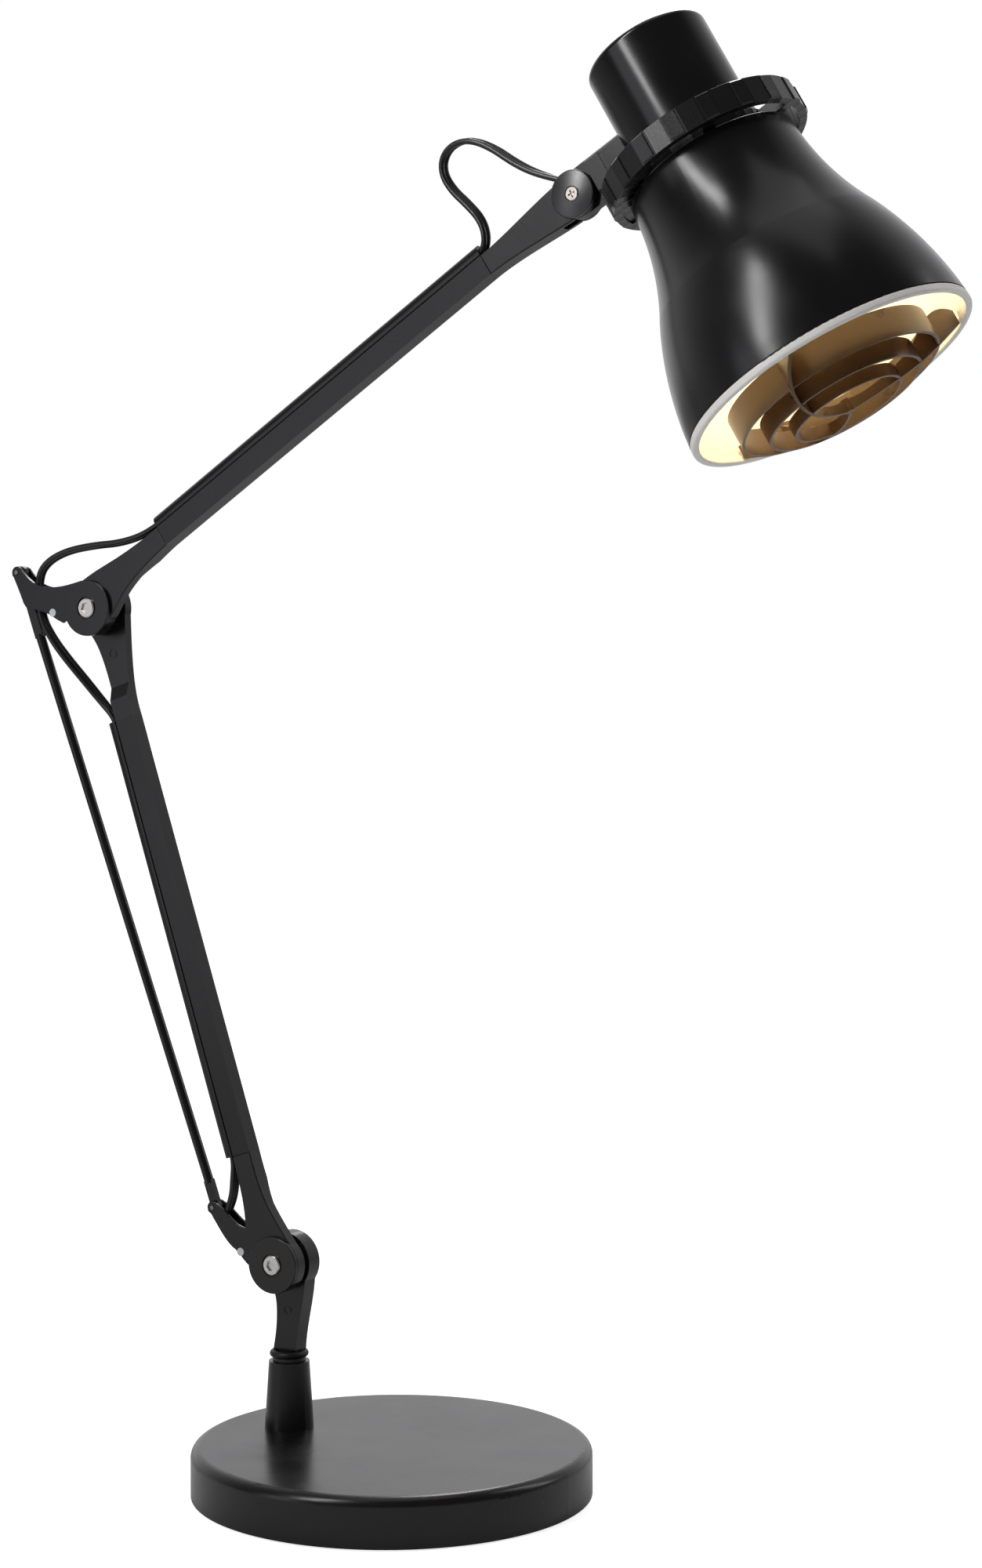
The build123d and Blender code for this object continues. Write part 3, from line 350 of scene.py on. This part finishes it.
# ---- the flat twin lead's free stretches -------------------------------------------------------
# routes in metres, the same points as the CAD stretches
HEAD_LOOP = [(0.05798, -0.0156, 0.60544), (0.0626, -0.0156, 0.6084), (0.0636, -0.0156, 0.6162),
             (0.0604, -0.0156, 0.6240), (0.0532, -0.0156, 0.6314), (0.0452, -0.0156, 0.6384),
             (0.0398, -0.0156, 0.6462), (0.0396, -0.0156, 0.6542), (0.0450, -0.0156, 0.6602),
             (0.0544, -0.0156, 0.6618), (0.0660, -0.0156, 0.6576), (0.0796, -0.0156, 0.6484),
             (0.0925, -0.0156, 0.6420), (0.1052, -0.0156, 0.6382)]
ELBOW_HIGH = [(-0.12548, -0.0156, 0.48584), (-0.1355, -0.0156, 0.4793), (-0.1525, -0.0158, 0.4746),
              (-0.1706, -0.0162, 0.4736), (-0.1874, -0.0170, 0.4710), (-0.1998, -0.0175, 0.4656),
              (-0.2057, -0.01755, 0.4575), (-0.2049, -0.01755, 0.4475)]
ELBOW_LOW = [(-0.2049, -0.01755, 0.4475), (-0.2041, -0.01755, 0.4375), (-0.1974, -0.0164, 0.4254),
             (-0.1886, -0.0146, 0.4144), (-0.1794, -0.0120, 0.4036), (-0.1708, -0.0096, 0.3932),
             (-0.16245, -0.0088, 0.38469), (-0.16042, -0.0088, 0.37852)]
SHOULDER_LOOP = [(-0.09008, -0.0088, 0.16585), (-0.08804, -0.0088, 0.15968), (-0.0886, -0.0088, 0.1506),
                 (-0.0892, -0.0087, 0.1430), (-0.0918, -0.0085, 0.1356), (-0.0946, -0.0083, 0.1302)]

LOBE_R = 1.45 * MM          # radius of each core's sheath
LOBE_AT = 1.15 * MM         # its middle, from the lead's middle
LEAD_STEP = 0.4 * MM        # the closest that two cross-sections come


def lead_section(steps=13):
    """Outline of two cores side by side, width first: (across, thick)."""
    meet = math.pi - math.acos(LOBE_AT / LOBE_R)
    right = [(LOBE_AT + LOBE_R * math.cos(a), LOBE_R * math.sin(a))
             for a in (meet * (2 * i / (steps - 1) - 1) for i in range(steps))]
    left = [(-x, -y) for x, y in right]
    return right[:-1] + left[:-1]


def route_line(name, route):
    """Points along the route's smooth spline."""
    curve = bpy.data.curves.new(name, "CURVE")
    curve.dimensions = "3D"
    curve.resolution_u = 16
    spline = curve.splines.new("NURBS")
    spline.points.add(len(route) - 1)
    for point, at in zip(spline.points, route):
        point.co = (*at, 1.0)
    spline.order_u = 3
    spline.use_endpoint_u = True
    holder = bpy.data.objects.new(name, curve)
    scene.collection.objects.link(holder)
    bpy.context.view_layer.update()
    line = bpy.data.meshes.new_from_object(holder)
    points = [v.co.copy() for v in line.vertices]
    bpy.data.objects.remove(holder)
    bpy.data.curves.remove(curve)
    bpy.data.meshes.remove(line)
    kept = [points[0]]
    for point in points[1:]:
        if (point - kept[-1]).length > LEAD_STEP:
            kept.append(point)
    return kept


def twin_lead(name, node, route, twist):
    """One free stretch of the lead. twist turns its flat from the arms' depth as it goes, in degrees."""
    line = route_line(name, route)
    outline = lead_section()
    reach = [0.0]
    for a, b in zip(line, line[1:]):
        reach.append(reach[-1] + (b - a).length)
    vertices, faces = [], []
    for i, at in enumerate(line):
        along = (line[min(i + 1, len(line) - 1)] - line[max(i - 1, 0)]).normalized()
        wide = Vector((0, 1, 0))
        wide = (wide - along * wide.dot(along)).normalized()
        share = reach[i] / reach[-1]
        wide = Matrix.Rotation(math.radians(twist(share)), 3, along) @ wide
        thick = along.cross(wide)
        vertices += [at + wide * x + thick * y for x, y in outline]
    count = len(outline)
    for i in range(len(line) - 1):
        for k in range(count):
            a, b = i * count + k, i * count + (k + 1) % count
            faces.append((a, b, b + count, a + count))
    faces.append(tuple(reversed(range(count))))
    faces.append(tuple((len(line) - 1) * count + k for k in range(count)))
    mesh = bpy.data.meshes.new(name)
    mesh.from_pydata(vertices, [], faces)
    mesh.validate()
    for face in mesh.polygons:
        face.use_smooth = len(face.vertices) == 4
    mesh.materials.append(finishes["lead"])
    piece = bpy.data.objects.new(name, mesh)
    scene.collection.objects.link(piece)
    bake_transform(piece)
    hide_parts(node)
    print(name, "length", round(reach[-1], 4))


def hump(most):
    """A twist that grows to the given angle halfway and falls back to none."""
    return lambda share: most * math.sin(math.pi * share)


twin_lead("lead_head_twin", "lead_head_loop", HEAD_LOOP,
          lambda s: -38 * math.sin(2 * math.pi * s))
twin_lead("lead_elbow_high_twin", "lead_elbow_high", ELBOW_HIGH,
          hump(20))
twin_lead("lead_elbow_low_twin", "lead_elbow_low", ELBOW_LOW,
          hump(42))
twin_lead("lead_shoulder_twin", "lead_shoulder_loop", SHOULDER_LOOP,
          hump(25))


# ---- floor, light ------------------------------------------------------------------------------
LIT_MIDDLE = Vector((0.02, 0.0, 0.36))          # what every light points at


def floor_paint():
    """A white sweep: it glows more towards the far edge, and less in what the black parts mirror."""
    n = Nodes("pale_floor")
    n.set(Specular_IOR_Level=0.1, Emission_Color=(1.0, 1.0, 1.0, 1.0))
    n.colour(n.ramp(n.noise(40.0, 4.0), (0.55, 0.55, 0.55), (0.57, 0.57, 0.57)))
    n.roughness(n.spread(n.noise(40.0, 4.0), 0.75, 0.85))
    away = n.add("ShaderNodeVectorMath", operation="LENGTH")
    n.link(n.place, away.inputs[0])
    glow = n.add("ShaderNodeMapRange")
    for key, value in (("From Min", 0.0), ("From Max", 1.0), ("To Min", 0.10)):
        glow.inputs[key].default_value = value
    n.link(n.spread(away.outputs["Value"], 0.80, 0.98, 0.3, 2.6), glow.inputs["To Max"])
    n.link(n.add("ShaderNodeLightPath").outputs["Is Camera Ray"], glow.inputs["Value"])
    n.link(glow.outputs["Result"], n.shader.inputs["Emission Strength"])
    return n.material


def add_floor():
    """A flat round floor under the base, far wider than the view."""
    rings, steps = (0.0, 0.25, 0.6, 1.5, 4.0, 14.0), 64
    vertices = [(0.0, 0.0, 0.0)]
    for r in rings[1:]:
        vertices += [(r * math.cos(2 * math.pi * k / steps), r * math.sin(2 * math.pi * k / steps), 0.0)
                     for k in range(steps)]
    faces = [(0, 1 + k, 1 + (k + 1) % steps) for k in range(steps)]
    for j in range(len(rings) - 2):
        a, b = 1 + j * steps, 1 + (j + 1) * steps
        faces += [(a + k, b + k, b + (k + 1) % steps, a + (k + 1) % steps) for k in range(steps)]
    mesh = bpy.data.meshes.new("floor")
    mesh.from_pydata(vertices, [], faces)
    mesh.materials.append(floor_paint())
    floor = bpy.data.objects.new("floor", mesh)
    scene.collection.objects.link(floor)


def add_softbox(name, azimuth, elevation, distance, size, power, tone=(1, 1, 1)):
    """A soft light at an azimuth round the lamp, 0 in front of the arms and 90 on the head's side."""
    a, e = math.radians(azimuth), math.radians(elevation)
    way = Vector((math.sin(a) * math.cos(e), -math.cos(a) * math.cos(e), math.sin(e)))
    data = bpy.data.lights.new(name, "AREA")
    data.shape = "RECTANGLE"
    data.size, data.size_y = size
    data.energy = power
    data.color = tone
    light = bpy.data.objects.new(name, data)
    light.location = LIT_MIDDLE + way * distance
    light.rotation_euler = (-way).to_track_quat("-Z", "Y").to_euler()
    light.visible_camera = False
    scene.collection.objects.link(light)


def add_surround():
    """A white surround behind everything. In what the black parts mirror it is bright behind the lamp
    and dark in front of it, as round a lamp that is lit against a white sweep."""
    world = bpy.data.worlds.new("studio")
    world.use_nodes = True
    tree = world.node_tree
    seen = tree.nodes["Background"]
    seen.inputs["Color"].default_value = (1.0, 1.0, 1.0, 1)
    dim = tree.nodes.new("ShaderNodeBackground")
    dim.inputs["Color"].default_value = (0.98, 0.98, 1.0, 1)
    way = tree.nodes.new("ShaderNodeVectorMath")
    way.operation = "DOT_PRODUCT"
    way.inputs[1].default_value = (-0.5, 0.866, 0.0)
    tree.links.new(tree.nodes.new("ShaderNodeTexCoord").outputs["Generated"], way.inputs[0])
    fade = tree.nodes.new("ShaderNodeMapRange")
    for key, value in (("From Min", 0.0), ("From Max", 0.9), ("To Min", 0.11), ("To Max", 0.95)):
        fade.inputs[key].default_value = value
    tree.links.new(way.outputs["Value"], fade.inputs["Value"])
    tree.links.new(fade.outputs["Result"], dim.inputs["Strength"])
    choose = tree.nodes.new("ShaderNodeMixShader")
    rays = tree.nodes.new("ShaderNodeLightPath")
    tree.links.new(rays.outputs["Is Camera Ray"], choose.inputs["Fac"])
    tree.links.new(dim.outputs[0], choose.inputs[1])
    tree.links.new(seen.outputs[0], choose.inputs[2])
    tree.links.new(choose.outputs[0], tree.nodes["World Output"].inputs["Surface"])
    scene.world = world


add_floor()
add_surround()
add_softbox("key", -19, 38, 1.7, (0.24, 1.0), 14)
add_softbox("side", 128, 26, 1.7, (0.35, 1.2), 5)
add_softbox("top", 10, 88, 1.9, (1.2, 1.2), 3.5)
add_softbox("rim", 204, 42, 1.9, (0.30, 1.2), 8)
add_softbox("front", -33, 3, 2.2, (0.8, 1.2), 4.0, tone=(0.95, 0.94, 1.0))
scene.view_settings.view_transform = "Standard"
